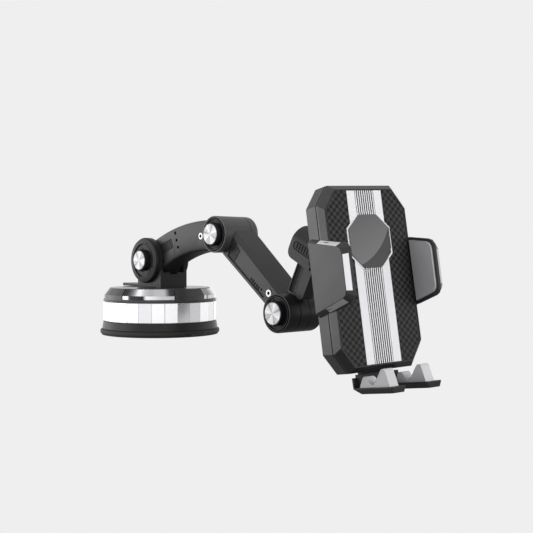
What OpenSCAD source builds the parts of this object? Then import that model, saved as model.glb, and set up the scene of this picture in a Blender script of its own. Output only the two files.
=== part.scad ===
// Suction-base phone mount: a vacuum base, three jointed arms, a ball head and a phone cradle.
// Origin at the centre of the suction face, +Z up, the arm chain lies in the XZ plane towards +X.

/* [Suction base] */
// Diameter across the flats of the fluted grip ring
ring_d = 82; // [78:1:86]
// Number of flat panels round the grip ring
panel_count = 28; // [20:1:36]
// Height of the grip ring band
ring_h = 14.4; // [12:0.2:16]
// Width of the soft lip beyond the grip ring
lip_w = 2.5; // [1.5:0.1:4]
// Turn of the glossy lid inserts about the vertical
insert_turn = -4.5; // [-20:0.5:20]

/* [Arms] */
// Distance from the shoulder axis to the elbow axis, along X
upper_run = 79.5; // [76:0.5:84]
// Height of the shoulder axis above the suction face
shoulder_z = 53.7; // [52.5:0.1:55]
// Height of the elbow axis above the suction face
elbow_z = 71.3; // [70:0.1:73]
// X place of the wrist axis
wrist_x = 139.3; // [137:0.1:142]
// Height of the wrist axis above the suction face
wrist_z = 21.7; // [20:0.1:24]
// Angle of the telescopic arm above the horizontal
rail_angle = 63.5; // [60:0.5:68]
// Radius of the elbow and wrist barrels
barrel_r = 12.2; // [11.8:0.1:12.6]
// Half of the length of the elbow and wrist barrels
barrel_half = 15; // [14.5:0.1:16]
// Half of the width of the arms
arm_half = 9; // [8:0.1:9.2]

/* [Cradle] */
// Half of the width of the cradle body
cradle_hw = 30; // [29:0.5:33]
// Half of the height of the cradle body
cradle_hh = 52.5; // [50:0.5:56]
// Thickness of the cradle body
cradle_t = 18.5; // [18:0.1:20]
// Turn of the cradle about the vertical
cradle_yaw = -12.8; // [-20:0.1:0]
// Upward pitch of the cradle face
cradle_pitch = 8.5; // [4:0.1:12]
// Roll of the cradle about its own face normal
cradle_roll = 2.4; // [-4:0.1:6]
// Ball centre above the centre of the cradle
ball_up = 13.6; // [10:0.1:18]
// Ball centre behind the front face of the cradle
ball_back = 36.8; // [36:0.1:40]

/* [Fits] */
// Radial clearance of a turning shaft
run_gap = 0.05; // [0.03:0.01:0.1]
// Clearance between sliding or facing pieces
slide_gap = 0.3; // [0.2:0.05:0.4]

/* [Hidden] */
$fn = 72;
e = 0.01;
ring_r = ring_d / 2;
ring_z = 9.8;
ring_top = ring_z + ring_h;
lip_r = ring_r + lip_w;
lid_bead_z = ring_top + 0.2;
lid_top = ring_top + 9.7;
deck_z = 17;
deck_t = 2;
spigot_r = 16;
plunger_head_z = lid_top + 2.5;
stem_r = 2.5;
cam_pivot_x = -5.5;
cam_r = 6;
cam_throw = 4.16;
cam_phase = 72.5;
cam_pivot_z = plunger_head_z - 0.1 - cam_r - cam_throw * cos(cam_phase);
cam_x = cam_pivot_x + cam_throw * sin(cam_phase);
cam_z = cam_pivot_z + cam_throw * cos(cam_phase);
lever_half = 6.3;
bolt_r = 3;
fork_in = 9.6;
fork_out = 12.3;
cap_r = 16.4;
tongue_r = 14.5;
disc_r = 6.9;
knob_r = 7.6;
seam_elbow = 8;
tongue_lo = -5.4;
tongue_hi = 2.4;
upper_top_r = 145;
upper_bottom_r = 100;
arch_x = 64;
arch_top_z = 81.3;
arch_bottom_z = 60.5;
edge_cut = 2.2;
wall = 2.2;
lower_run = norm([wrist_x - upper_run, wrist_z - elbow_z]);
lower_angle = atan2(elbow_z - wrist_z, wrist_x - upper_run);
lower_far = 11;
head_a = 44;
head_r = 9.5;
head_foot = 33.5;
head_back = -13.5;
rail_lo = -5.2;
rail_hi = 2.2;
rail_half = 6.5;
rail_top = 47;
guide_y0 = -7.5;
guide_y1 = 1.5;
guide_h = 9.2;
guide_a = 16.5;
tooth_pitch = 1.3;
ball_r = 8.5;
seat_r = 9.8;
nut_r = 12.8;
thread_r = 11;
mouth_angle = 66;
neck_r = 2.8;
boss_r = 4.5;
boss_out = 5.7;
ball_h = 16.1;
groove = 0.8;
front_edge = 4.2;
face_hw = cradle_hw - 1.8;
face_hh = cradle_hh - 2.9;
cut_w = 8;
cut_h = 11.5;
panel_z = -0.9;
strip_hw = 12;
strip_hh = face_hh - 0.8;
cover_u = 19.8;
cover_hw = 14;
cover_hh = 15.1;
cover_cut = 8;
jaw_u = 2;
jaw_in = 28.4;
jaw_out = 33.4;
jaw_edge = 29.9;
pad_t = 1.2;
rack_z0 = -12.5;
rack_z1 = -9.3;
pitch_r = 6;
gear_teeth = 12;
rack_reach = 22;
foot_w = 12.3;
foot_hw = 5;
foot_z0 = -12;
foot_z1 = 25.6;
foot_bottom = -64.2;
foot_top = -60.8;

// ---------- shared shapes ----------

// Cylinder along Y between two Y places, centred on an XZ point
module ycyl(x, z, r, y0, y1) {
    translate([x, y1, z])
        rotate([90, 0, 0])
            cylinder(r = r, h = y1 - y0);
}

// Flat ring standing on the XY plane
module ring(r_out, r_in, z0, z1) {
    translate([0, 0, z0])
        difference() {
            cylinder(r = r_out, h = z1 - z0);
            translate([0, 0, -1])
                cylinder(r = r_in, h = z1 - z0 + 2);
        }
}

// Ring along Y
module yring(x, z, r_out, r_in, y0, y1) {
    difference() {
        ycyl(x, z, r_out, y0, y1);
        ycyl(x, z, r_in, y0 - 1, y1 + 1);
    }
}

// Hexagon prism along Y
module yhex(x, z, r, y0, y1) {
    translate([x, y1, z])
        rotate([90, 0, 0])
            cylinder(r = r, h = y1 - y0, $fn = 6);
}

// Block given by its two opposite corners
module block(a, b) {
    translate(a)
        cube(b - a);
}

// Machine screw along -Y with its socket head at y_head
module yscrew(x, z, y_head, y_tip, r_head) {
    difference() {
        union() {
            ycyl(x, z, r_head, y_head, y_head + 1.6);
            ycyl(x, z, 1.2, y_head + 1.5, y_tip);
        }
        yhex(x, z, r_head * 0.55, y_head - 1, y_head + 0.9);
    }
}

// One turn list of points along a helix, used by the coil springs
function coil_point(r, z0, z1, turns, t) =
    [r * cos(360 * turns * t), r * sin(360 * turns * t), z0 + (z1 - z0) * t];

// Round wire swept along a helix
module coil(r, wire, z0, z1, turns, steps = 14, sides = 6) {
    count = ceil(turns * steps);
    points = [
        for (i = [0:count])
            let (p = coil_point(r, z0 + wire, z1 - wire, turns, i / count), a = 360 * turns * i / count)
                for (k = [0:sides - 1])
                    let (b = 360 * k / sides)
                        [p[0] + wire * cos(b) * cos(a), p[1] + wire * cos(b) * sin(a), p[2] + wire * sin(b)]
    ];
    sides_faces = [
        for (i = [0:count - 1])
            for (k = [0:sides - 1])
                [
                    i * sides + k, i * sides + (k + 1) % sides,
                    (i + 1) * sides + (k + 1) % sides, (i + 1) * sides + k
                ]
    ];
    first = [for (k = [sides - 1:-1:0]) k];
    last = [for (k = [0:sides - 1]) count * sides + k];
    polyhedron(points = points, faces = concat(sides_faces, [first], [last]), convexity = 8);
}

// Places things in the telescopic arm's frame: X along the arm, Z away from the cradle
module at_wrist() {
    translate([wrist_x, 0, wrist_z])
        rotate([0, -rail_angle, 0])
            children();
}

// Block in the telescopic arm's frame, from its reach along the arm, Y and reach towards the cradle
module rail_block(a, y, h) {
    block([a[0], y[0], -h[1]], [a[1], y[1], -h[0]]);
}

// Places things on the head's axis: Z towards the cradle, origin at the ball centre
module at_ball() {
    at_wrist()
        translate([head_a, 0, -ball_h])
            rotate([180, 0, 0])
                children();
}

ball_centre = [
    wrist_x + head_a * cos(rail_angle) + ball_h * sin(rail_angle),
    0,
    wrist_z + head_a * sin(rail_angle) - ball_h * cos(rail_angle)
];

// Turns the cradle frame (X right, Y up, Z out of the face) into the mount's frame
module cradle_turn() {
    rotate([0, 0, cradle_yaw])
        rotate([0, -cradle_pitch, 0])
            rotate([cradle_roll, 0, 0])
                rotate([90, 0, 90])
                    children();
}

// Places things in the cradle frame, origin at the centre of its front face
module in_cradle() {
    translate(ball_centre)
        cradle_turn()
            translate([0, -ball_up, ball_back])
                children();
}

// Outline of an elongated octagon
module octagon(hw, hh, cw, ch) {
    polygon([
        [hw - cw, hh], [-hw + cw, hh], [-hw, hh - ch], [-hw, -hh + ch],
        [-hw + cw, -hh], [hw - cw, -hh], [hw, -hh + ch], [hw, hh - ch]
    ]);
}

// Octagon plate between two heights
module oct_plate(hw, hh, z0, z1) {
    translate([0, 0, z0])
        linear_extrude(z1 - z0)
            octagon(hw, hh, cut_w, cut_h);
}

// Octagon block whose sides lean from one size to another
module oct_taper(hw0, hh0, z0, hw1, hh1, z1) {
    hull() {
        oct_plate(hw0, hh0, z0, z0 + e);
        oct_plate(hw1, hh1, z1 - e, z1);
    }
}

// ---------- suction base ----------

// Sticky gel face that seals on the dashboard
module gel_pad() {
    color("#26272a")
        cylinder(r = lip_r - 1, h = 0.8);
}

// Soft cup with a rounded lip and a ridged pull tab
module suction_cup() {
    color("#2e2f32") {
        rotate_extrude()
            polygon([
                [0, 0.8], [lip_r - 0.5, 0.8], [lip_r, 1.4], [lip_r, 3.3],
                [lip_r - 0.7, 4.2], [ring_r - 3, 4.2], [ring_r - 3, 3], [0, 3]
            ]);
        block([lip_r - 1, -5.5, 1], [lip_r + 4, 5.5, 2.6]);
        for (i = [0:2])
            block([lip_r + 0.6 + 1.3 * i, -4.5, 2.6 - e], [lip_r + 1.2 + 1.3 * i, 4.5, 3.2]);
    }
}

// Inner chassis: leaning skirt, sleeve that carries the grip ring, and the deck over the spring
module base_housing() {
    sleeve_r = ring_r - 3;
    color("#303134")
        difference() {
            union() {
                rotate_extrude()
                    polygon([
                        [sleeve_r - 2, 4.2], [ring_r + 1.1, 4.2], [ring_r + 0.2, ring_z - 0.1],
                        [sleeve_r, ring_z - 0.1], [sleeve_r, ring_top], [sleeve_r - 2, ring_top]
                    ]);
                ring(sleeve_r - 1, stem_r + run_gap, deck_z, deck_z + deck_t);
            }
            for (i = [0:3])
                rotate([0, 0, 45 + 90 * i])
                    translate([29, 0, deck_z - 1])
                        cylinder(r = 1.4, h = deck_t + 2);
        }
}

// Bright grip ring made of flat panels with fine grooves between them
module grip_ring() {
    step = 360 / panel_count;
    corner_r = ring_r / cos(step * 0.46);
    points = [
        for (i = [0:panel_count - 1])
            for (k = [0, 1, 2])
                let (a = i * step + [-0.46, 0.46, 0.5][k] * step, r = [corner_r, corner_r, ring_r - 0.4][k])
                    [r * cos(a), r * sin(a)]
    ];
    color("#e8e9eb")
        translate([0, 0, ring_z])
            linear_extrude(ring_h)
                difference() {
                    polygon(points);
                    circle(r = ring_r - 3 + run_gap);
                }
}

// Angles at which the four lid inserts are centred
function insert_angle(i) = insert_turn + 45 + 90 * i;

// Half of the angle that one insert covers
insert_half = 28;

// Lid with a bevelled shoulder, four pockets and the hub that the yoke turns in
module base_lid() {
    color("#2c2d30")
        difference() {
            union() {
                rotate_extrude()
                    polygon([
                        [ring_r - 4.2, ring_top + e], [ring_r + 0.4, ring_top + e],
                        [ring_r + 0.5, lid_bead_z + 0.7], [ring_r, lid_bead_z + 1.1],
                        [ring_r, lid_top - 4.9], [ring_r - 3.6, lid_top - 0.2],
                        [ring_r - 4, lid_top], [spigot_r + run_gap, lid_top],
                        [spigot_r + run_gap, lid_top - 7],
                        [spigot_r + 3.4, lid_top - 7], [spigot_r + 3.4, lid_top - 2.5],
                        [ring_r - 6.2, lid_top - 2.5], [ring_r - 4.2, lid_top - 6]
                    ]);
                for (i = [0:3])
                    rotate([0, 0, 45 + 90 * i])
                        translate([29, 0, deck_z + deck_t])
                            cylinder(r = 3, h = lid_top - deck_z - deck_t - 2);
            }
            for (i = [0:3]) {
                rotate([0, 0, insert_angle(i) - insert_half])
                    rotate_extrude(angle = 2 * insert_half)
                        polygon([
                            [ring_r - 1.4, lid_bead_z + 1.6], [ring_r + 2, lid_bead_z + 1.6],
                            [ring_r + 2, lid_top + 1], [ring_r - 4.4, lid_top + 1],
                            [ring_r - 4.4, lid_top - 0.7], [ring_r - 1.4, lid_top - 5.3]
                        ]);
                rotate([0, 0, 45 + 90 * i])
                    translate([29, 0, deck_z + deck_t - 1])
                        cylinder(r = 1.25, h = 9);
            }
        }
}

// Four glossy inserts, each with an upright facet and a sloping facet
module lid_inserts() {
    color("#1a1a1c")
        for (i = [0:3])
            rotate([0, 0, insert_angle(i) - insert_half + 1])
                rotate_extrude(angle = 2 * insert_half - 2)
                    polygon([
                        [ring_r - 1.4, lid_bead_z + 1.9], [ring_r - 0.2, lid_bead_z + 1.9],
                        [ring_r - 0.2, lid_top - 5.1], [ring_r - 3.7, lid_top - 0.4],
                        [ring_r - 4.4, lid_top - 0.7], [ring_r - 1.4, lid_top - 5.3]
                    ]);
}

// Screws that pull the lid down on the housing deck
module base_screws() {
    color("#b9bbbe")
        for (i = [0:3])
            rotate([0, 0, 45 + 90 * i])
                translate([29, 0, 0]) {
                    translate([0, 0, deck_z - 1.6])
                        cylinder(r = 2.4, h = 1.6);
                    translate([0, 0, deck_z - e])
                        cylinder(r = 1.2, h = 9);
                }
}

// Spring that pushes the plunger down when the lever is lifted
module plunger_spring() {
    color("#9a9ca0")
        coil(r = 6, wire = 0.6, z0 = 9.6, z1 = deck_z, turns = 4);
}

// Plunger: foot over the membrane, stem through the deck and head above the cam
module plunger() {
    color("#85878b") {
        translate([0, 0, 7.4])
            cylinder(r = 13, h = 2.2);
        translate([0, 0, 9.6 - e])
            cylinder(r = stem_r, h = plunger_head_z - 9.6 + 2 * e);
        translate([0, 0, plunger_head_z])
            cylinder(r = 6, h = 1.5);
    }
}

// ---------- yoke and locking lever ----------

// Hollow in the yoke for the cam, the plunger head and the lever
module yoke_hollow() {
    block([-13, -lever_half - slide_gap, 0], [8, lever_half + slide_gap, lid_top + 6]);
    block([-20, -lever_half - slide_gap, lid_top - 1], [0, lever_half + slide_gap, lid_top + 6.2]);
}

// Swivelling yoke: turned spigot, foot block and two round cheeks
module yoke() {
    foot_z = lid_top + 0.1;
    color("#37383b")
        difference() {
            union() {
                block([-11.5, -11.8, foot_z], [16.4, 11.8, foot_z + 13]);
                translate([0, 0, lid_top - 10])
                    cylinder(r = spigot_r, h = 10.5);
                ycyl(0, shoulder_z, cap_r, -fork_out, -fork_in);
                ycyl(0, shoulder_z, cap_r, fork_in, fork_out);
            }
            ring(spigot_r + 1, spigot_r - 0.8, lid_top - 9, lid_top - 7.4);
            yoke_hollow();
            ycyl(0, shoulder_z, tongue_r + 0.6, -fork_in, fork_in);
            block([-20, -fork_in, lid_top + 6], [12.6, fork_in, 80]);
            block([-20, -fork_in, foot_z + 10.9], [20, fork_in, 80]);
            block([12, -3.2, foot_z + 9.7], [20, 3.2, foot_z + 12]);
            ycyl(0, shoulder_z, bolt_r, -20, 20);
            ycyl(cam_pivot_x, cam_pivot_z, 1.2, -spigot_r, spigot_r);
        }
}

// Retaining ring that snaps into the spigot under the lid
module yoke_retainer() {
    color("#6c6e72")
        ring(spigot_r + 3, spigot_r - 0.75, lid_top - 8.9, lid_top - 7.5);
}

// Steel bolt through the shoulder
module shoulder_bolt() {
    color("#8d8f93") {
        ycyl(0, shoulder_z, bolt_r - e, -15.2, fork_out + e);
        yhex(0, shoulder_z, 5.2, fork_out, 15);
    }
}

// Nut on the shoulder bolt, hidden under the big cap
module shoulder_nut() {
    color("#a4a6a9")
        difference() {
            yhex(0, shoulder_z, 5.4, -15, -fork_out);
            ycyl(0, shoulder_z, bolt_r, -16, -11);
        }
}

// Friction washers on both sides of the upper arm's tongue
module shoulder_washers() {
    color("#17181a") {
        yring(0, shoulder_z, 9, bolt_r + 0.1, -fork_in, -arm_half - 0.05);
        yring(0, shoulder_z, 9, bolt_r + 0.1, arm_half + 0.05, fork_in);
    }
}

// Round cover: domed rim, stepped rings with four notches and a raised knob
module round_cap(r, y0, rise, knob, knob_rise, room_r, room_h, step_r) {
    rotate([90, 0, 0])
        difference() {
            rotate_extrude()
                polygon([
                    [0, y0], [r, y0], [r, y0 + rise - 1.2], [r - 0.8, y0 + rise],
                    [step_r + 0.6, y0 + rise + 0.5], [step_r, y0 + rise + 0.5],
                    [step_r, y0 + rise - 0.5], [step_r - 1, y0 + rise - 0.5],
                    [step_r - 1, y0 + rise], [knob + 0.9, y0 + rise], [knob + 0.9, y0 + rise - 0.9],
                    [knob, y0 + rise - 0.9], [knob, y0 + knob_rise - 0.4], [knob - 0.4, y0 + knob_rise],
                    [disc_r + 0.05, y0 + knob_rise], [disc_r + 0.05, y0 + knob_rise - 0.9],
                    [0, y0 + knob_rise - 0.9]
                ]);
            translate([0, 0, y0 - 1])
                cylinder(r = room_r, h = room_h + 1);
        }
}

// Spun metal disc let into the face of a knob
module knob_disc(y_face) {
    rotate([90, 0, 0])
        rotate_extrude()
            polygon([
                [0, y_face - 0.9], [disc_r, y_face - 0.9], [disc_r, y_face - 0.1],
                [disc_r - 0.3, y_face + 0.15], [0, y_face + 0.15]
            ]);
}

// Big cover on the near side of the shoulder
module shoulder_cap() {
    color("#2a2b2e")
        translate([0, 0, shoulder_z])
            difference() {
                round_cap(cap_r, fork_out, 2.7, knob_r, 6.6, 6, 3, 12.1);
                for (i = [0:3])
                    rotate([0, 20 + 90 * i, 0])
                        block([11.2, -16, -0.4], [13.4, -14.9, 0.4]);
            }
}

// Silver disc on the shoulder cap
module shoulder_disc() {
    color("#d9dbdd")
        translate([0, 0, shoulder_z])
            knob_disc(fork_out + 6.6);
}

// Plain cover over the bolt head on the far side
module shoulder_rear_cap() {
    color("#2a2b2e")
        translate([0, 0, shoulder_z])
            rotate([-90, 0, 0])
                difference() {
                    rotate_extrude()
                        polygon([
                            [0, fork_out], [cap_r - 1, fork_out], [cap_r - 1, 14],
                            [cap_r - 3, 16], [0, 16.4]
                        ]);
                    translate([0, 0, fork_out - 1])
                        cylinder(r = 6, h = 4);
                }
}

// Pin that the locking lever turns on
module lever_pin() {
    color("#9c9ea1")
        ycyl(cam_pivot_x, cam_pivot_z, 1.2, -13.5, 13.5);
}

// Locking lever: two cam lobes, neck and flat thumb plate
module lock_lever() {
    color("#303134")
        difference() {
            union() {
                for (side = [-1, 1])
                    ycyl(cam_x, cam_z, cam_r, side > 0 ? 3.1 : -lever_half, side > 0 ? lever_half : -3.1);
                ycyl(cam_pivot_x, cam_pivot_z, 2.5, -lever_half, lever_half);
                translate([0, lever_half, 0])
                    rotate([90, 0, 0])
                        linear_extrude(2 * lever_half)
                            polygon([
                                [cam_pivot_x - 1.6, cam_pivot_z - 1.9], [cam_pivot_x, cam_pivot_z + 2.4],
                                [cam_pivot_x - 5, cam_pivot_z + 3.3], [cam_pivot_x - 5, lid_top + 2.2],
                                [-30, lid_top + 2.2], [-38.4, lid_top + 2.6], [-39, lid_top + 2.2],
                                [-39, lid_top + 0.9], [-38.4, lid_top + 0.4], [-12.6, lid_top + 0.4],
                                [-12.6, cam_pivot_z + 2.6]
                            ]);
            }
            ycyl(cam_pivot_x, cam_pivot_z, 1.2 + run_gap, -20, 20);
            block([-4.2, -3.1, 0], [5, 3.1, 60]);
        }
}

// ---------- upper arm ----------

// Disc in the XZ plane with bevelled rims, centred below the arch
module arch_disc(r, cz, bevel) {
    translate([arch_x, 0, cz])
        rotate([90, 0, 0])
            rotate_extrude($fn = 180)
                polygon([
                    [0, -arm_half - e], [r - bevel, -arm_half - e], [r, -arm_half - e + abs(bevel)],
                    [r, arm_half + e - abs(bevel)], [r - bevel, arm_half + e], [0, arm_half + e]
                ]);
}

// Arched bar between the shoulder and the elbow
module arch_bar() {
    difference() {
        arch_disc(upper_top_r, arch_top_z - upper_top_r, edge_cut);
        arch_disc(upper_bottom_r, arch_bottom_z - upper_bottom_r, -edge_cut);
        block([-200, -20, -300], [3, 20, 200]);
        block([upper_run, -20, -300], [400, 20, 200]);
        block([-200, -20, -300], [400, 20, 30]);
    }
}

// Room inside the arched bar
module arch_room() {
    top_r = upper_top_r - wall - 0.6;
    low_r = upper_bottom_r + wall + 0.6;
    intersection() {
        difference() {
            ycyl(arch_x, arch_top_z - upper_top_r, top_r, -arm_half + wall, arm_half - wall);
            ycyl(arch_x, arch_bottom_z - upper_bottom_r, low_r, -20, 20);
        }
        block([18, -arm_half + wall, 40], [53, arm_half - wall, 100]);
    }
}

// Whole upper arm before it is split into its two shells
module upper_arm() {
    difference() {
        union() {
            arch_bar();
            ycyl(0, shoulder_z, tongue_r, -arm_half, arm_half);
            difference() {
                ycyl(upper_run, elbow_z, barrel_r, -barrel_half, seam_elbow - 0.1);
                ycyl(upper_run, elbow_z, barrel_r - 1, -barrel_half - 1, -barrel_half + 2);
            }
        }
        arch_room();
        ycyl(0, shoulder_z, bolt_r + run_gap, -20, 20);
        ycyl(upper_run, elbow_z, bolt_r, -20, 20);
        ycyl(upper_run, elbow_z, 6, -barrel_half - 1, -10);
        ycyl(upper_run, elbow_z, 8.2, seam_elbow - 0.6, 20);
        ycyl(upper_run, elbow_z, barrel_r + 0.4, seam_elbow - 0.1, 20);
        ycyl(57.8, 70.5, 2.5, -arm_half - 1, -arm_half + 1.9);
        ycyl(57.8, 70.5, 1.25, -arm_half, 6);
        ycyl(16, 61, 2.5, arm_half - 1.9, arm_half + 1);
        ycyl(16, 61, 1.25, -6, arm_half);
        translate([19.9, -arm_half + 0.5, 63.6])
            rotate([90, 19, 0])
                linear_extrude(2)
                    polygon([[-8.6, -3.4], [7, -3.4], [7, 3.4], [-8.6, 3.4]]);
        for (i = [0:2])
            ycyl(30.6 + 1.55 * i, 73.1 - 5 * i, 0.9, -arm_half - 1, -arm_half + 1.5);
    }
}

// Near shell of the upper arm
module upper_arm_near() {
    color("#3c3d40")
        intersection() {
            upper_arm();
            block([-20, -20, 20], [120, 0, 100]);
        }
}

// Far shell of the upper arm
module upper_arm_far() {
    color("#3c3d40")
        intersection() {
            upper_arm();
            block([-20, 0, 20], [120, 20, 100]);
        }
}

// Two screws that close the upper arm, one from each side
module upper_arm_screws() {
    color("#d0d2d4") {
        yscrew(57.8, 70.5, -arm_half + 0.3, 5.8, 2.3);
        mirror([0, 1, 0])
            yscrew(16, 61, -arm_half + 0.3, 5.8, 2.3);
    }
}

// Bolt of a barrel joint: head on the far side, thread end on the near side
module barrel_bolt(x, z) {
    ycyl(x, z, bolt_r - e, -12.4, 11 + e);
    yhex(x, z, 5, 11, 13.4);
}

// Nut of a barrel joint in the pocket under the near cap
module barrel_nut(x, z) {
    difference() {
        yhex(x, z, 5.2, -12.2, -10);
        ycyl(x, z, bolt_r, -13, -9);
    }
}

// Cap set in the near end of a barrel
module barrel_cap(x, z) {
    translate([x, 0, z])
        round_cap(barrel_r - 1.05, barrel_half - 2, 1.9, knob_r, 5.3, 6, 0, 10);
}

// Disc on a barrel cap
module barrel_disc(x, z) {
    translate([x, 0, z])
        knob_disc(barrel_half - 2 + 5.3);
}

// Plug in the far end of a barrel
module barrel_plug(x, z) {
    ycyl(x, z, 6.4, 13.6, barrel_half - 0.3);
}

module elbow_bolt() {
    color("#8d8f93")
        barrel_bolt(upper_run, elbow_z);
}

module elbow_nut() {
    color("#a4a6a9")
        barrel_nut(upper_run, elbow_z);
}

// Friction washer between the two halves of the elbow barrel
module elbow_washer() {
    color("#17181a")
        yring(upper_run, elbow_z, 8, bolt_r + 0.1, seam_elbow - 0.6, seam_elbow + 0.05);
}

module elbow_cap() {
    color("#2a2b2e")
        barrel_cap(upper_run, elbow_z);
}

module elbow_disc() {
    color("#d9dbdd")
        barrel_disc(upper_run, elbow_z);
}

// ---------- lower arm ----------

// Frame along the lower arm: X from elbow to wrist, Z square to it
module along_lower() {
    translate([upper_run, 0, elbow_z])
        rotate([0, lower_angle, 0])
            children();
}

// Tapered bar of the lower arm
module lower_bar() {
    top_a = 9.9;
    top_b = 8.2;
    bottom_a = -9.4;
    bottom_b = -6.6;
    along_lower()
        translate([0, lower_far, 0])
            rotate([90, 0, 0])
                linear_extrude(lower_far + arm_half)
                    polygon([[0, bottom_a], [lower_run, bottom_b], [lower_run, top_b], [0, top_a]]);
}

// Whole lower arm before it is split into its two shells
module lower_arm() {
    difference() {
        union() {
            lower_bar();
            difference() {
                ycyl(wrist_x, wrist_z, barrel_r, -barrel_half, tongue_lo - 0.3);
                ycyl(wrist_x, wrist_z, barrel_r - 1, -barrel_half - 1, -barrel_half + 2);
            }
            ycyl(wrist_x, wrist_z, barrel_r, tongue_hi + 0.3, barrel_half);
            ycyl(upper_run, elbow_z, barrel_r, seam_elbow + 0.1, barrel_half);
        }
        ycyl(upper_run, elbow_z, barrel_r + 0.4, -20, seam_elbow + 0.1);
        ycyl(wrist_x, wrist_z, barrel_r + 0.4, tongue_lo - 0.3, tongue_hi + 0.3);
        ycyl(wrist_x, wrist_z, barrel_r - 1, -barrel_half - 1, -barrel_half + 2);
        ycyl(upper_run, elbow_z, bolt_r + run_gap, 0, 20);
        ycyl(upper_run, elbow_z, 6.5, 10.8, 20);
        ycyl(wrist_x, wrist_z, bolt_r, -20, 20);
        ycyl(wrist_x, wrist_z, 6, -barrel_half - 1, -10);
        ycyl(wrist_x, wrist_z, 6.5, 10.8, 20);
        along_lower() {
            block([19, -arm_half + wall, -5.6], [lower_run - 22, lower_far - wall, 5.8]);
            translate([17, -arm_half + 0.5, 0])
                rotate([90, 0, 0])
                    linear_extrude(2)
                        polygon([[0, -6], [lower_run - 40, -4.8], [lower_run - 36, 6.2], [-4, 7]]);
            for (i = [0:3])
                block([32 + 2.4 * i, -arm_half - 1, -4.4], [33.2 + 2.4 * i, -arm_half + 1.3, -2.4]);
        }
        ycyl(118.3, 35.6, 0.7, -arm_half - 1, -arm_half + 1.8);
        ycyl(125.5, 33.5, 2.5, -arm_half - 1, -arm_half + 1.9);
        ycyl(125.5, 33.5, 1.25, -arm_half, 8);
        ycyl(96, 62, 2.5, lower_far - 1.9, lower_far + 1);
        ycyl(96, 62, 1.25, -6, lower_far);
    }
}

// Near shell of the lower arm
module lower_arm_near() {
    color("#3c3d40")
        intersection() {
            lower_arm();
            block([60, -20, 0], [170, 0, 100]);
        }
}

// Far shell of the lower arm
module lower_arm_far() {
    color("#3c3d40")
        intersection() {
            lower_arm();
            block([60, 0, 0], [170, 20, 100]);
        }
}

// Two screws that close the lower arm, one from each side
module lower_arm_screws() {
    color("#d0d2d4") {
        yscrew(125.5, 33.5, -arm_half + 0.3, 7.8, 2.3);
        mirror([0, 1, 0])
            yscrew(96, 62, -lower_far + 0.3, 5.8, 2.3);
    }
}

module elbow_rear_cap() {
    color("#2a2b2e")
        barrel_plug(upper_run, elbow_z);
}

module wrist_bolt() {
    color("#8d8f93")
        barrel_bolt(wrist_x, wrist_z);
}

module wrist_nut() {
    color("#a4a6a9")
        barrel_nut(wrist_x, wrist_z);
}

module wrist_cap() {
    color("#2a2b2e")
        barrel_cap(wrist_x, wrist_z);
}

module wrist_disc() {
    color("#d9dbdd")
        barrel_disc(wrist_x, wrist_z);
}

module wrist_rear_cap() {
    color("#2a2b2e")
        barrel_plug(wrist_x, wrist_z);
}

// ---------- telescopic arm and ball head ----------

// Inner member: tongue in the wrist barrel and toothed rail with a T-slot
module toothed_rail() {
    color("#242527")
        difference() {
            union() {
                ycyl(wrist_x, wrist_z, barrel_r, tongue_lo, tongue_hi);
                at_wrist() {
                    rail_block([0, 14], [tongue_lo, tongue_hi], [rail_lo, rail_hi]);
                    rail_block([barrel_r + 0.7, rail_top], [-rail_half, rail_half], [rail_lo, rail_hi]);
                }
            }
            ycyl(wrist_x, wrist_z, bolt_r + run_gap, -20, 20);
            ycyl(wrist_x, wrist_z, 7.7, tongue_lo - 1, tongue_lo + 0.5);
            ycyl(wrist_x, wrist_z, 7.7, tongue_hi - 0.5, tongue_hi + 1);
            at_wrist() {
                rail_block([barrel_r + 2, rail_top + 1], [-5, -0.5], [-1.9, 0.2]);
                rail_block([barrel_r + 2, rail_top + 1], [-4.1, -1.5], [0, 3]);
                rail_block([barrel_r + 1.6, rail_top - 1], [-rail_half - 1, -rail_half + 0.7], [-4.5, -0.4]);
                for (i = [0:20])
                    translate([13.6 + tooth_pitch * i, -rail_half + 0.6, 0])
                        rotate([90, 0, 0])
                            linear_extrude(2)
                                polygon([[0, 0], [0.6, 0], [3.6, -2.4], [3, -2.4]]);
            }
        }
}

// Friction washers on both faces of the tongue
module wrist_washers() {
    color("#17181a") {
        yring(wrist_x, wrist_z, 7.5, bolt_r + 0.1, tongue_lo - 0.25, tongue_lo + 0.5);
        yring(wrist_x, wrist_z, 7.5, bolt_r + 0.1, tongue_hi - 0.5, tongue_hi + 0.25);
    }
}

// Guide bar that hangs from the head and runs along the rail, with a rounded end
module guide_bar() {
    low = rail_hi + 0.25;
    mid = (low + guide_h) / 2;
    at_wrist() {
        rail_block([guide_a, head_foot + 2], [guide_y0, guide_y1], [low, guide_h]);
        ycyl(guide_a, -mid, (guide_h - low) / 2, guide_y0, guide_y1);
        rail_block([guide_a, head_foot + 2], [-4.8, -0.7], [-1.7, 0]);
        rail_block([guide_a, head_foot + 2], [-3.9, -1.7], [-1, 3]);
    }
}

// Side outline of the head's block, with its lower rear corner rounded off
module head_block() {
    back = -head_back;
    at_wrist()
        translate([0, head_r, 0])
            rotate([90, 0, 0])
                linear_extrude(2 * head_r)
                    polygon([
                        [head_foot, -8], [head_a, -8], [head_a, back], [head_foot + 4.4, back],
                        [head_foot + 2, back - 0.8], [head_foot + 0.5, back - 2.6], [head_foot, back - 5]
                    ]);
}

// Oblong outline on the head's side, along the head's axis
module oblong(length, width) {
    for (side = [-1, 1])
        translate([0, side * (length - width) / 2])
            circle(d = width);
    translate([-width / 2, -(length - width) / 2])
        square([width, length - width]);
}

button_a = 42.6;
button_h = -1.2;
button_l = 19;
button_w = 5.6;

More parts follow.
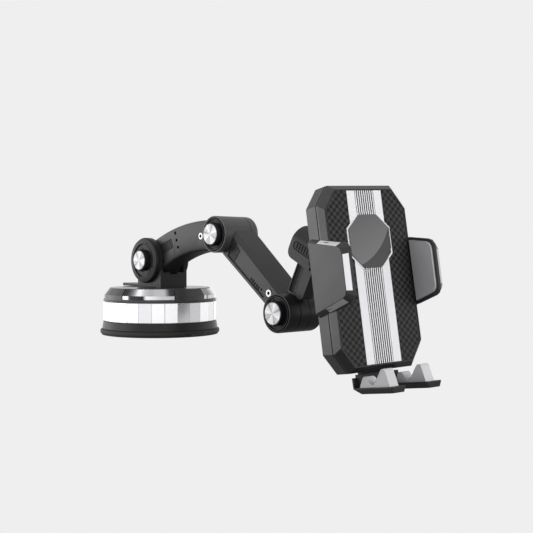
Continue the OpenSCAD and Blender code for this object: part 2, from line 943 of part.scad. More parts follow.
// Head: D-shaped housing on the guide bar with the threaded cup for the ball
module ball_head() {
    color("#3a3b3e")
        difference() {
            union() {
                guide_bar();
                head_block();
                at_ball() {
                    translate([0, 0, head_back - ball_h])
                        cylinder(r = head_r, h = ball_h - head_back - 6);
                    translate([0, 0, -ball_h + 4])
                        cylinder(r1 = head_r, r2 = nut_r - 0.6, h = 3);
                    translate([0, 0, -ball_h + 7])
                        cylinder(r = nut_r - 0.6, h = 2);
                    translate([0, 0, -ball_h + 9])
                        cylinder(r = thread_r - 0.06, h = ball_h - 9);
                }
            }
            at_ball()
                sphere(r = seat_r + run_gap);
            at_wrist() {
                rail_block(
                    [head_foot - 1, rail_top + 0.5],
                    [-rail_half - 0.3, rail_half + 0.3],
                    [rail_lo - 0.3, rail_hi + 0.25]
                );
                translate([button_a, -head_r + 1.9, -button_h])
                    rotate([90, 0, 0])
                        linear_extrude(4)
                            oblong(button_l, button_w);
            }
        }
}

// Ribbed release button in the side of the head
module head_button() {
    color("#2b2c2f")
        at_wrist()
            translate([button_a, -head_r + 1.1, -button_h])
                rotate([90, 0, 0]) {
                    linear_extrude(0.7)
                        oblong(button_l - 0.6, button_w - 0.6);
                    for (i = [-3:3])
                        translate([-(button_w - 1.6) / 2, 2.3 * i - 0.5, 0])
                            cube([button_w - 1.6, 1, 1.2]);
                }
}

// Section of the space in front of the mouth of the socket
module mouth_section() {
    polygon([[0, 0], [40 * sin(mouth_angle), 40 * cos(mouth_angle)], [0, 40]]);
}

// Knurled nut that squeezes the seat on the ball
module collar_nut() {
    mouth_z = nut_r / tan(mouth_angle);
    color("#232427")
        at_ball()
            difference() {
                union() {
                    rotate_extrude()
                        difference() {
                            polygon([
                                [0, -6.8], [nut_r - 0.5, -6.8], [nut_r, -6.3],
                                [nut_r, mouth_z], [0, mouth_z]
                            ]);
                            mouth_section();
                        }
                }
                sphere(r = seat_r + run_gap);
                translate([0, 0, -8])
                    cylinder(r = thread_r, h = 8.3);
                for (i = [0:17])
                    rotate([0, 0, 20 * i])
                        translate([nut_r + 0.6, 0, -8])
                            cylinder(r = 1, h = 12, $fn = 24);
            }
}

// Nylon seat round the ball
module ball_seat() {
    color("#e3e0d6")
        at_ball()
            rotate_extrude()
                difference() {
                    intersection() {
                        circle(r = seat_r);
                        translate([0, -seat_r * 0.8])
                            square([20, 30]);
                    }
                    circle(r = ball_r + run_gap);
                    mouth_section();
                }
}

// Steel ball with a neck and the flange that the cradle turns on
module ball_stud() {
    inner = ball_back - cradle_t + wall;
    color("#77797d")
        translate(ball_centre)
            cradle_turn() {
                sphere(r = ball_r);
                cylinder(r = neck_r, h = inner + 0.5);
                translate([0, 0, inner + 0.1])
                    cylinder(r = 7, h = 1.8);
            }
}

// ---------- cradle ----------

seam_z = -front_edge - 1;
back_z = -cradle_t;

// Screw places in the cradle
screw_spots = [[-18, 41], [18, 41], [-18, -41], [18, -41]];

// Rear tray with the boss for the ball stud, bar slots, foot slot and screw posts
module cradle_back() {
    color("#46474a")
        in_cradle()
            difference() {
                union() {
                    difference() {
                        union() {
                            oct_taper(
                                cradle_hw - 3, cradle_hh - 3, back_z,
                                cradle_hw, cradle_hh, back_z + 3
                            );
                            oct_plate(cradle_hw, cradle_hh, back_z + 3 - e, seam_z - groove);
                        }
                        oct_plate(cradle_hw - wall - 0.8, cradle_hh - wall - 0.8, back_z + wall, 0);
                    }
                    translate([0, ball_up, back_z - boss_out])
                        cylinder(r = boss_r, h = boss_out + 1);
                    for (p = screw_spots)
                        translate([p[0], p[1], back_z + 1])
                            cylinder(r = 3, h = seam_z - groove - back_z - 1);
                    translate([0, jaw_u, back_z + 1])
                        cylinder(r = 2.6, h = rack_z0 - back_z - 1.3);
                }
                translate([0, ball_up, back_z - 10])
                    cylinder(r = neck_r + run_gap, h = 20);
                translate([0, jaw_u, back_z + 1.5])
                    cylinder(r = 1.2, h = 20);
                for (p = screw_spots)
                    translate([p[0], p[1], back_z - 1]) {
                        cylinder(r = 1.4, h = 20);
                        cylinder(r = 2.6, h = 2.6);
                    }
                block(
                    [-cradle_hw - 5, jaw_u + 5, rack_z0 - slide_gap],
                    [-20, jaw_u + 13.5, rack_z1 + slide_gap]
                );
                block(
                    [20, jaw_u - 13.5, rack_z0 - slide_gap],
                    [cradle_hw + 5, jaw_u - 5, rack_z1 + slide_gap]
                );
                block([-10.4, -cradle_hh - 5, rack_z0 - slide_gap], [10.4, -40, rack_z1 + slide_gap]);
                translate([0, -20, back_z - 1])
                    cylinder(r = 5.3, h = 5);
            }
}

// Front frame: bevelled rim with a pocket for the panels
module cradle_front() {
    color("#2b2c2f")
        in_cradle()
            difference() {
                union() {
                    oct_plate(cradle_hw - 1.1, cradle_hh - 1.1, seam_z - groove, seam_z);
                    oct_plate(cradle_hw, cradle_hh, seam_z, -front_edge);
                    oct_taper(cradle_hw, cradle_hh, -front_edge - e, face_hw, face_hh, 0);
                }
                oct_plate(face_hw - 0.8, face_hh - 0.8, panel_z, 1);
                difference() {
                    oct_plate(cradle_hw - wall - 0.8, cradle_hh - wall - 0.8, -10, panel_z - 1.8);
                    for (p = screw_spots)
                        translate([p[0], p[1], -12])
                            cylinder(r = 3, h = 14);
                }
                for (p = screw_spots)
                    translate([p[0], p[1], -12])
                        cylinder(r = 1.2, h = 10);
            }
}

// Outline of the octagonal cover, grown by an amount
module cover_outline(grow) {
    translate([0, cover_u])
        octagon(cover_hw + grow, cover_hh + grow, cover_cut + grow * 0.6, cover_cut + grow * 0.6);
}

// Woven-look panels on both sides of the strip
module carbon_panels() {
    color("#1f2022")
        in_cradle()
            translate([0, 0, panel_z])
                linear_extrude(0.75)
                    difference() {
                        octagon(face_hw - 0.85, face_hh - 0.85, cut_w, cut_h);
                        translate([-strip_hw, -60])
                            square([2 * strip_hw, 120]);
                        cover_outline(1);
                    }
}

// Bright strip: two flat bands, fine ribs between them and the frame round the cover
module centre_strip() {
    band = 5.4;
    rib_count = 9;
    rib_gap = 2 * (strip_hw - band) / rib_count;
    color("#d4d6d8")
        in_cradle()
            difference() {
                union() {
                    block([-strip_hw, -strip_hh, panel_z], [strip_hw, strip_hh, -0.3]);
                    for (side = [-1, 1])
                        block(
                            [side * (strip_hw - band / 2) - band / 2, -strip_hh, panel_z],
                            [side * (strip_hw - band / 2) + band / 2, strip_hh, 0.1]
                        );
                    for (i = [0:rib_count - 1])
                        block(
                            [-strip_hw + band + rib_gap * (i + 0.22), -strip_hh, panel_z],
                            [-strip_hw + band + rib_gap * (i + 0.78), strip_hh, 0.1]
                        );
                    translate([0, 0, panel_z])
                        linear_extrude(1.2)
                            cover_outline(1);
                }
                translate([0, 0, panel_z - 1])
                    linear_extrude(5)
                        cover_outline(0.05);
            }
}

// Glossy octagonal cover over the gear
module octagon_cover() {
    color("#3d3f42")
        in_cradle()
            difference() {
                translate([0, 0, panel_z])
                    linear_extrude(1.9)
                        cover_outline(0);
                translate([13.2, cover_u - 7.5, 0.4])
                    cylinder(r = 3, h = 2);
            }
}

// Plate that holds the stud's flange against the rear tray
module stud_clamp() {
    z0 = back_z + wall + 2;
    color("#6c6e72")
        in_cradle()
            difference() {
                union() {
                    block([-9.5, ball_up - 8.2, z0], [9.5, ball_up + 10, z0 + 1.4]);
                    for (side = [-1, 1])
                        block(
                            [side * 8.6 - 0.9, ball_up - 8.2, back_z + wall],
                            [side * 8.6 + 0.9, ball_up + 10, z0 + 0.5]
                        );
                }
                translate([0, ball_up, z0 - 1])
                    cylinder(r = 3, h = 4);
            }
}

// Four screws from the back of the cradle
module cradle_screws() {
    color("#b9bbbe")
        in_cradle()
            for (p = screw_spots)
                translate([p[0], p[1], back_z]) {
                    difference() {
                        translate([0, 0, 0.2])
                            cylinder(r = 2.4, h = 1.4);
                        translate([0, 0, -1])
                            cylinder(r = 1.2, h = 2, $fn = 6);
                    }
                    translate([0, 0, 1.5])
                        cylinder(r = 1.15, h = 12);
                }
}

// Pin that the pinion turns on
module gear_pin() {
    color("#9c9ea1")
        in_cradle()
            translate([0, jaw_u, back_z + 1.5])
                cylinder(r = 1.2, h = 12);
}

// Push button on the back that frees the jaws
module jaw_release_button() {
    color("#2a2b2e")
        in_cradle()
            translate([0, -20, back_z - 1.6]) {
                cylinder(r = 5, h = 4);
                translate([0, 0, 4])
                    cylinder(r = 6.2, h = 1.2);
            }
}

// Tooth outline pointing along +Y, thick at its root
module tooth(root, tip, depth_in, depth_out) {
    polygon([[-root / 2, -depth_in], [root / 2, -depth_in], [tip / 2, depth_out], [-tip / 2, depth_out]]);
}

// Gear that makes the two jaws move together
module pinion() {
    color("#c9c4b4")
        in_cradle()
            translate([0, jaw_u, rack_z0])
                linear_extrude(rack_z1 - rack_z0)
                    difference() {
                        union() {
                            circle(r = pitch_r - 1.1);
                            for (i = [0:gear_teeth - 1])
                                rotate(i * 360 / gear_teeth)
                                    translate([0, pitch_r])
                                        tooth(1.9, 0.75, 1.4, 0.75);
                        }
                        circle(r = 1.2 + run_gap);
                    }
}

// Rack bar in the jaw's own frame, teeth towards the pinion at y = 0
module rack_bar() {
    step = 2 * PI * pitch_r / gear_teeth;
    translate([0, 0, rack_z0])
        linear_extrude(rack_z1 - rack_z0)
            translate([-cradle_hw - 1, pitch_r + 1])
                square([cradle_hw + 1 + rack_reach, 6.1]);
    translate([0, 0, rack_z0])
        linear_extrude(rack_z1 - rack_z0)
            for (i = [-1:6])
                translate([step * (i + 0.5), pitch_r])
                    rotate(180)
                        tooth(1.9, 0.75, 1.4, 0.75);
}

// Outline of a jaw plate: X out of the face, Y up
module jaw_outline() {
    polygon([
        [-13.5, 24.2], [15.6, 17.8], [18.4, 16.6], [20.1, 14.4], [20.6, 11.8],
        [20.4, -9.2], [20, -11.6], [18.8, -13.5], [16.6, -14.6], [-13.5, -20.6]
    ]);
}

// Smaller outline of the jaw's outer face
module jaw_face_outline() {
    polygon([
        [-12.4, 21.8], [14.4, 15.6], [16.8, 14.2], [18.2, 11.4],
        [18, -8.8], [17, -10.8], [15.2, -11.8], [-12.4, -17.8]
    ]);
}

// Turns an outline in (out of face, up) into a slab between two widths on the left
module left_slab(w0, w1) {
    translate([-w0, 0, 0])
        rotate([0, -90, 0])
            linear_extrude(w1 - w0)
                children();
}

// Bevelled jaw plate, grown outwards by an amount
module jaw_plate(grow) {
    hull() {
        left_slab(jaw_edge, jaw_edge + e)
            jaw_outline();
        left_slab(jaw_out + grow - e, jaw_out + grow)
            jaw_face_outline();
    }
    left_slab(jaw_in, jaw_edge + e)
        jaw_outline();
}

// Left jaw with its rack above or below the pinion
module jaw_body(rack_side) {
    difference() {
        jaw_plate(0);
        block([-cradle_hw - slide_gap, -40, -30], [0, 40, slide_gap]);
    }
    translate([0, jaw_u, 0])
        mirror([0, rack_side > 0 ? 0 : 1, 0])
            rack_bar();
}

// Soft pad on the inside of a jaw
module jaw_pad_body() {
    left_slab(jaw_in - pad_t, jaw_in)
        polygon([
            [1.2, 19.3], [15.2, 16.2], [17.4, 15], [18.7, 12.8], [18.9, 10.6],
            [18.7, -8.6], [18.2, -10.6], [17, -12], [15.4, -12.8], [1.2, -15.9]
        ]);
}

module jaw_left() {
    color("#4a4b4e")
        in_cradle()
            jaw_body(1);
}

module jaw_left_pad() {
    color("#8b8d90")
        in_cradle()
            jaw_pad_body();
}

module jaw_right() {
    color("#4a4b4e")
        in_cradle()
            mirror([1, 0, 0])
                jaw_body(-1);
}

module jaw_right_pad() {
    color("#8b8d90")
        in_cradle()
            mirror([1, 0, 0])
                jaw_pad_body();
}

// Outline of a tray seen from above (X across, Y out of the face), shrunk at the sides and the stern
module tray_outline(side, stern) {
    hw = foot_hw - side;
    z0 = foot_z0 + stern;
    z1 = foot_z1 - side * 0.5;
    polygon([
        [-hw, z0 + 4.5], [-hw + 2.6, z0], [hw - 2.6, z0], [hw, z0 + 4.5],
        [hw, z1 - 0.7], [hw - 0.7, z1], [-hw + 0.7, z1], [-hw, z1 - 0.7]
    ]);
}

// Lays an outline seen from above flat between two heights of the cradle frame
module flat_slab(y0, y1) {
    translate([0, y0, 0])
        rotate([-90, 0, 0])
            mirror([0, 1, 0])
                linear_extrude(y1 - y0)
                    children();
}

// Boat-shaped tray with a raised stern
module foot_tray() {
    hull() {
        flat_slab(foot_top - 0.8, foot_top)
            tray_outline(0, 0);
        flat_slab(foot_bottom, foot_bottom + e)
            tray_outline(0.9, 5.5);
    }
    hull() {
        flat_slab(foot_top - 0.4, foot_top + 2.4)
            intersection() {
                tray_outline(0, 0);
                translate([-foot_hw, foot_z0])
                    square([2 * foot_hw, 3.4]);
            }
        flat_slab(foot_top + 2.4, foot_top + 5.4)
            translate([-foot_hw + 2.6, foot_z0 - 0.2])
                square([2 * foot_hw - 5.2, 1.6]);
    }
}

// Sliding foot: stem in the cradle, cross bar and two trays
module foot_carriage() {
    color("#2d2e31")
        in_cradle() {
            block([-10, -58, rack_z0], [10, -30, rack_z1]);
            block([-13, foot_top - 0.6, -11], [13, -cradle_hh - 1.2, -5.3]);
            for (side = [-1, 1])
                translate([side * foot_w, 0, 0])
                    foot_tray();
        }
}

// Soft wave-shaped pads on the trays
module foot_pads() {
    color("#8b8d90")
        in_cradle()
            for (side = [-1, 1])
                translate([side * foot_w + 2.9, 0, 0])
                    rotate([0, -90, 0])
                        linear_extrude(5.8)
                            polygon([
                                [-5, foot_top], [-4.3, foot_top + 1.2], [-1.3, foot_top + 5.4],
                                [-0.3, foot_top + 5.9], [1.4, foot_top + 5.9], [2.5, foot_top + 5.2],
                                [4.8, foot_top + 2.2], [6.2, foot_top + 1.4], [7.6, foot_top + 1.4],
                                [9.4, foot_top + 2.6], [14.7, foot_top + 8.3], [16.1, foot_top + 9.4],
                                [18, foot_top + 9.6], [19, foot_top + 8.9], [21.8, foot_top]
                            ]);
}

gel_pad();
suction_cup();
base_housing();
grip_ring();
base_lid();
lid_inserts();
base_screws();
plunger_spring();
plunger();
yoke();
yoke_retainer();
shoulder_bolt();
shoulder_nut();
shoulder_washers();
shoulder_cap();
shoulder_disc();
shoulder_rear_cap();
lever_pin();
lock_lever();
upper_arm_near();
upper_arm_far();
upper_arm_screws();
elbow_bolt();
elbow_nut();
elbow_washer();
elbow_cap();
elbow_disc();
lower_arm_near();
lower_arm_far();
lower_arm_screws();
elbow_rear_cap();
wrist_bolt();
wrist_nut();
wrist_cap();
wrist_disc();
wrist_rear_cap();
toothed_rail();
wrist_washers();
ball_head();
head_button();
collar_nut();
ball_seat();
ball_stud();
cradle_back();
cradle_front();
carbon_panels();
centre_strip();
octagon_cover();
stud_clamp();
cradle_screws();
gear_pin();
jaw_release_button();
pinion();
jaw_left();
jaw_left_pad();
jaw_right();
jaw_right_pad();
foot_carriage();
foot_pads();
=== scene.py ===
import bpy, bmesh, math
from mathutils import Matrix, Vector


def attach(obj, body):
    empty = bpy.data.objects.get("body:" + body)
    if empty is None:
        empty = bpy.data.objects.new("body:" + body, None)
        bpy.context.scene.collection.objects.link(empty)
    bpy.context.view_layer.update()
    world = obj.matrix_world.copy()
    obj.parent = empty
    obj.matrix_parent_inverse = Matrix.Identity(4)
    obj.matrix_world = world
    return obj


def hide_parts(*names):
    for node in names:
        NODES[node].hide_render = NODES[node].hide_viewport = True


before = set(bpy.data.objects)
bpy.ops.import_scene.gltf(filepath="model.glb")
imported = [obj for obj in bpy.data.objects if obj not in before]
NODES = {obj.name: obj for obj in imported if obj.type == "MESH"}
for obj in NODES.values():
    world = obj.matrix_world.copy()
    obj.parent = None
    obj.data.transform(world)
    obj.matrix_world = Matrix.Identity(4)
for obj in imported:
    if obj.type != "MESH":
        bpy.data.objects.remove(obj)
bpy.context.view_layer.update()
MM = 0.001
PI = math.pi


def rad(d):
    return d * PI / 180


def rot(axis, d):
    return Matrix.Rotation(rad(d), 4, axis)


def shift(x, y, z):
    return Matrix.Translation((x, y, z))


# ---------- places taken from the model (millimetres, suction face at z = 0) ----------
RING_R, LIP_R = 41.0, 43.5
J1, J2, J3 = (0.0, 53.7), (79.5, 71.3), (139.3, 21.7)
RAIL = 63.5
LOWER = math.degrees(math.atan2(J2[1] - J3[1], J3[0] - J2[0]))
LOWER_RUN = math.hypot(J3[0] - J2[0], J2[1] - J3[1])
AT_WRIST = shift(J3[0], 0, J3[1]) @ rot("Y", -RAIL)
AT_BALL = AT_WRIST @ shift(44, 0, -16.1) @ rot("X", 180)
BALL = AT_BALL @ Vector((0, 0, 0))
TURN = rot("Z", -12.8) @ rot("Y", -8.5) @ rot("X", 2.4) @ rot("Z", 90) @ rot("X", 90)
IN_CRADLE = shift(*BALL) @ TURN @ shift(0, -13.6, 36.8)
ALONG_LOWER = shift(J2[0], 0, J2[1]) @ rot("Y", LOWER)


def at_side(x, z, sign=-1):
    """Local Z points to -Y (near side) or +Y (far side)."""
    return shift(x, 0, z) @ rot("X", 90 if sign < 0 else -90)


# ---------- materials ----------
class Nodes:
    """A small builder for a node tree."""

    def __init__(self, tree):
        self.t = tree

    def node(self, kind, **inputs):
        """Adds a node: _word sets a property, i0 or i1 an input by number, any other word one by name."""
        n = self.t.nodes.new(kind)
        for k, v in inputs.items():
            if k.startswith("_"):
                setattr(n, k[1:], v)
            elif k[0] == "i" and k[1:].isdigit():
                self.put(n.inputs[int(k[1:])], v)
            else:
                self.put(n.inputs[k], v)
        return n

    def put(self, sock, v):
        """Links another node's output to a socket, or sets the socket's own value."""
        if isinstance(v, bpy.types.NodeSocket):
            self.t.links.new(v, sock)
        else:
            sock.default_value = v

    def math(self, op, a, b=0.0, clamp=False):
        n = self.node("ShaderNodeMath", _operation=op, i0=a, i1=b)
        n.use_clamp = clamp
        return n.outputs[0]

    def scaled(self, v, factor, plus):
        return self.node("ShaderNodeMath", _operation="MULTIPLY_ADD", i0=v, i1=factor, i2=plus).outputs[0]

    def ramp(self, fac, *stops):
        """Colour ramp from (place, colour) stops."""
        n = self.t.nodes.new("ShaderNodeValToRGB")
        e = n.color_ramp.elements
        while len(e) < len(stops):
            e.new(0.5)
        for el, (place, colour) in zip(e, stops):
            el.position = place
            el.color = (*colour, 1)
        self.put(n.inputs[0], fac)
        return n.outputs[0]

    def blend(self, fac, first, second, kind="MIX"):
        n = self.node("ShaderNodeMix", _data_type="RGBA", _blend_type=kind, i0=fac, i6=first, i7=second)
        return n.outputs[2]


class Mat(Nodes):
    """A material with a Principled shader, and its object coordinates."""

    def __init__(self, name):
        self.m = bpy.data.materials.new(name)
        self.m.use_nodes = True
        super().__init__(self.m.node_tree)
        self.b = self.t.nodes["Principled BSDF"]
        self.here = self.t.nodes.new("ShaderNodeTexCoord").outputs["Object"]

    def set(self, **values):
        """Sets or links sockets of the shader; an underscore stands for a space."""
        for k, v in values.items():
            self.put(self.b.inputs[k.replace("_", " ")], v)

    def noise(self, scale, detail=4, rough=0.5):
        n = self.node("ShaderNodeTexNoise", Scale=scale, Detail=detail, Roughness=rough, Vector=self.here)
        return n.outputs["Fac"]

    def bump(self, height, strength, distance):
        n = self.node("ShaderNodeBump", Strength=strength, Distance=distance, Height=height)
        return n.outputs["Normal"]

    def apart(self):
        """X, Y and Z of the object coordinates."""
        return self.node("ShaderNodeSeparateXYZ", i0=self.here).outputs


def grey(v):
    return (v, v, v * 1.03)


def plastic(name, dark, light, rough, spec=0.5, grain=0.5, scale=2600):
    """Moulded plastic: fine grain, slow tone drift and slightly uneven gloss."""
    k = Mat(name)
    slow = k.noise(35, 3)
    fine = k.noise(scale, 2, 0.6)
    mixed = k.math("ADD", k.math("MULTIPLY", slow, 0.7), k.math("MULTIPLY", fine, 0.3))
    k.set(Base_Color=k.ramp(mixed, (0.3, grey(dark)), (0.7, grey(light))),
          Roughness=k.math("ADD", k.math("MULTIPLY", k.noise(90, 5), 0.12), rough - 0.06),
          Normal=k.bump(fine, grain, 0.00002),
          Specular_IOR_Level=spec)
    return k.m


def metal(name, dark, light, rough, metallic=1.0, scale=700):
    """Finely mottled metal, or a silver paint where metallic is low."""
    k = Mat(name)
    n = k.noise(scale, 6, 0.65)
    k.set(Base_Color=k.ramp(n, (0.3, grey(dark)), (0.7, grey(light))),
          Roughness=k.math("ADD", k.math("MULTIPLY", n, 0.1), rough - 0.05),
          Normal=k.bump(n, 0.15, 0.00001),
          Metallic=metallic)
    return k.m


RUBBER = {"scale": 2200, "spec": 0.4}
M = {
    "dark": plastic("satin_dark_plastic", 0.018, 0.026, 0.36, 0.22),
    "cap": plastic("cap_plastic", 0.012, 0.017, 0.34, 0.16),
    "grey": plastic("satin_grey_plastic", 0.026, 0.035, 0.38, 0.36),
    "head": plastic("head_plastic", 0.022, 0.030, 0.36, 0.28),
    "barrel": plastic("satin_barrel_plastic", 0.050, 0.062, 0.33),
    # A darker copy of the barrel plastic, as painted shade on the wrist lugs and the toothed rail, which lie
    # in shadow.
    "barrel_painted_shade": plastic("satin_barrel_plastic_painted_shade", 0.016, 0.023, 0.36, 0.3),
    "flank": plastic("cradle_side_plastic", 0.031, 0.040, 0.36, 0.45),
    "jaw": plastic("jaw_plastic", 0.022, 0.029, 0.36, 0.38),
    "rim": plastic("cradle_rim_plastic", 0.014, 0.020, 0.26),
    "soft": plastic("matt_soft_rubber", 0.020, 0.027, 0.62, 0.35, 0.7, 1900),
    # Black used as painted shade: in the vent slots, the rail's channel and the screw sockets.
    "deep": plastic("black_painted_shade", 0.004, 0.007, 0.55, 0.15),
    "lid": plastic("lid_plastic", 0.044, 0.054, 0.30),
    "pad": plastic("grey_rubber_pad", 0.32, 0.38, 0.5, **RUBBER),
    "foot_pad": plastic("light_grey_rubber", 0.38, 0.45, 0.5, grain=0.4, **RUBBER),
    "nylon": plastic("cream_nylon", 0.62, 0.70, 0.45, grain=0.3),
    "chrome": metal("polished_ring", 0.86, 0.93, 0.15, 0.62),
    "steel": metal("plain_steel", 0.45, 0.6, 0.3),
    "bright": metal("bright_screw", 0.42, 0.55, 0.32),
    "silver": metal("silver_paint", 0.66, 0.74, 0.34, 0.35, 1500),
    # A darker copy of the silver paint, as painted shade on the right jaw's trims and on the bottom trims.
    "silver_painted_shade": metal("silver_paint_painted_shade", 0.34, 0.42, 0.34, 0.35, 1500),
}


def use(obj, mat):
    obj.data.materials.clear()
    obj.data.materials.append(M[mat])


def spun_disc(cx, cz, turn):
    """Spun metal round an axis at (cx, cz): bright and grey fans as painted highlights, with very fine rings.
    """
    k = Mat("spun_metal_disc_painted_highlights")
    place = k.apart()
    x = k.math("ADD", place[0], -cx * MM)
    z = k.math("ADD", place[2], -cz * MM)
    a = k.math("ADD", k.math("ARCTAN2", z, x), turn)
    r = k.math("SQRT", k.math("ADD", k.math("MULTIPLY", x, x), k.math("MULTIPLY", z, z)))
    # Painted highlights: bright and grey fans by angle round the axis stand in for the sheen of the spun
    # metal.
    wide = k.math("MULTIPLY", k.math("SINE", k.math("MULTIPLY", a, 4.0)), 0.30)
    thin = k.math("MULTIPLY", k.math("SINE", k.math("MULTIPLY", a, 11.0)), 0.13)
    rings = k.math("MULTIPLY", k.math("SINE", k.math("MULTIPLY", r, 9000.0)), 0.05)
    highlight_fans = k.math("ADD", k.math("ADD", wide, thin), k.math("ADD", rings, 0.5), True)
    k.set(Base_Color=k.ramp(highlight_fans, (0.05, grey(0.22)), (0.45, grey(0.44)), (0.9, grey(0.63))),
          Roughness=k.math("ADD", k.math("MULTIPLY", k.noise(900, 4), 0.08), 0.34),
          Metallic=0.55)
    return k.m


def cradle_coords(k):
    """Coordinates in the cradle's own frame: X across, Y up, Z out of the face, in metres."""
    inv = IN_CRADLE.inverted()
    mapped = k.node("ShaderNodeMapping", Vector=k.here, Location=inv.translation * MM,
                    Rotation=inv.to_euler("XYZ")).outputs[0]
    return k.node("ShaderNodeSeparateXYZ", i0=mapped).outputs


def checked_panel():
    """Checked panel: small soft squares, each with its own run of threads."""
    k = Mat("checked_panel")
    x, y, _ = cradle_coords(k)
    per_cell = PI / 0.00205
    sx = k.math("SINE", k.math("MULTIPLY", x, per_cell))
    sy = k.math("SINE", k.math("MULTIPLY", y, per_cell))
    soft = k.math("ADD", k.math("MULTIPLY", k.math("MULTIPLY", sx, sy), 1.6), 0.5, True)
    slanting = k.math("SINE", k.math("MULTIPLY", k.math("ADD", x, y), per_cell * 5))
    woven = k.math("ADD", soft, k.math("MULTIPLY", slanting, 0.06))
    k.set(Base_Color=k.ramp(woven, (0.1, grey(0.006)), (0.9, grey(0.030))),
          Roughness=k.math("ADD", k.math("MULTIPLY", soft, 0.1), 0.36),
          Normal=k.bump(woven, 0.35, 0.00005),
          Specular_IOR_Level=0.26)
    return k.m


def cover_painted_reflection():
    """Painted reflection on the octagonal cover: a lighter and a darker tone, parted by an arc round a point
    off its upper left.
    """
    k = Mat("octagon_painted_reflection")
    x, y, _ = cradle_coords(k)
    dx = k.math("ADD", x, 0.021)
    dy = k.math("ADD", y, -0.0415)
    away = k.math("SQRT", k.math("ADD", k.math("MULTIPLY", dx, dx), k.math("MULTIPLY", dy, dy)))
    past_reflection_arc = k.math("MULTIPLY", k.math("ADD", away, -0.0372), 4000, True)
    # Painted reflection: both tones are lighter lower down and towards +X, and the darker tone lies beyond
    # the arc.
    reflection_fade = k.math("ADD", k.math("MULTIPLY", y, 22.0), k.math("MULTIPLY", x, -8.0))
    light = k.ramp(reflection_fade, (0.1, grey(0.13)), (0.9, grey(0.07)))
    deep = k.ramp(reflection_fade, (0.1, grey(0.042)), (0.9, grey(0.024)))
    k.set(Base_Color=k.blend(past_reflection_arc, light, deep),
          Roughness=k.math("ADD", k.math("MULTIPLY", k.noise(120, 3), 0.05), 0.12),
          Coat_Weight=0.3)
    return k.m


def ribbed_silver():
    """Silver strip: flat bright bands, painted shade between the fine ribs, and plain round the octagonal
    cover.
    """
    rib, half_ribbed, cover_at, cover_hw, cover_hh = 0.0014667, 0.0066, 0.0198, 0.0138, 0.0150
    k = Mat("ribbed_silver_strip")
    x, y, _ = cradle_coords(k)
    n = k.noise(1500, 6, 0.65)
    across = k.math("ABSOLUTE", x)
    up = k.math("ABSOLUTE", k.math("ADD", y, -cover_at))
    outside = k.math("MAXIMUM", k.math("MULTIPLY", k.math("ADD", across, -cover_hw), 9000, True),
                     k.math("MULTIPLY", k.math("ADD", up, -cover_hh), 9000, True))
    ribs = k.math("MULTIPLY", k.math("ADD", x, half_ribbed), 2 * PI / rib)
    # Painted shade: dark in the grooves between the ribs.
    groove_shade_wave = k.math("ADD", k.math("MULTIPLY", k.math("COSINE", ribs), 1.6), 0.5, True)
    inner = k.math("MULTIPLY", k.math("SUBTRACT", half_ribbed - 0.00005, across), 9000, True)
    dark = k.math("MULTIPLY", k.math("MULTIPLY", groove_shade_wave, inner), outside)
    bright = k.ramp(n, (0.3, grey(0.63)), (0.7, grey(0.70)))
    k.set(Base_Color=k.blend(dark, bright, (0.018, 0.018, 0.019, 1)),
          Roughness=k.math("ADD", k.math("MULTIPLY", n, 0.1), 0.30),
          Metallic=0.25)
    return k.m


def insert_painted_reflections():
    """Black inserts whose upright and sloping flats carry painted reflections, lighter and darker in turn
    round the lid.
    """
    k = Mat("black_insert_painted_reflections")
    x, y, z = k.apart()
    a = k.math("ADD", k.math("MULTIPLY", k.math("ARCTAN2", y, x), 0.5 / PI), 0.5)
    # Painted reflections: light and dark bands by bearing round the lid, one set for the upright flats and
    # one for the sloping flats.
    upright = k.ramp(a, *[(p, grey(v)) for p, v in (
        (0.02, 0.10), (0.03, 0.40), (0.08, 0.50), (0.085, 0.05), (0.20, 0.05), (0.21, 0.45), (0.306, 0.42),
        (0.309, 0.03), (0.354, 0.03), (0.357, 0.85), (0.40, 0.50), (0.45, 0.42), (0.50, 0.06), (0.525, 0.70),
        (0.546, 0.60), (0.55, 0.05), (0.56, 0.62), (0.64, 0.50), (0.80, 0.20))])
    sloping = k.ramp(a, *[(p, grey(v)) for p, v in (
        (0.02, 0.05), (0.06, 0.55), (0.10, 0.10), (0.20, 0.04), (0.30, 0.05), (0.315, 0.20), (0.335, 0.62),
        (0.41, 0.62), (0.424, 0.08), (0.50, 0.05), (0.53, 0.5), (0.58, 0.6), (0.65, 0.2), (0.85, 0.1))])
    above = k.math("MULTIPLY", k.math("ADD", z, -0.0288), 5000, True)
    k.set(Base_Color=k.blend(above, upright, sloping),
          Roughness=k.math("ADD", k.math("MULTIPLY", k.noise(80, 2), 0.05), 0.12),
          Metallic=0.7)
    return k.m


for i, (joint, turn) in enumerate(((J1, 0.6), (J2, 1.5), (J3, 2.3))):
    M["disc%d" % i] = spun_disc(*joint, turn)
M["carbon"] = checked_panel()
M["cover"] = cover_painted_reflection()
M["strip"] = ribbed_silver()
M["insert"] = insert_painted_reflections()

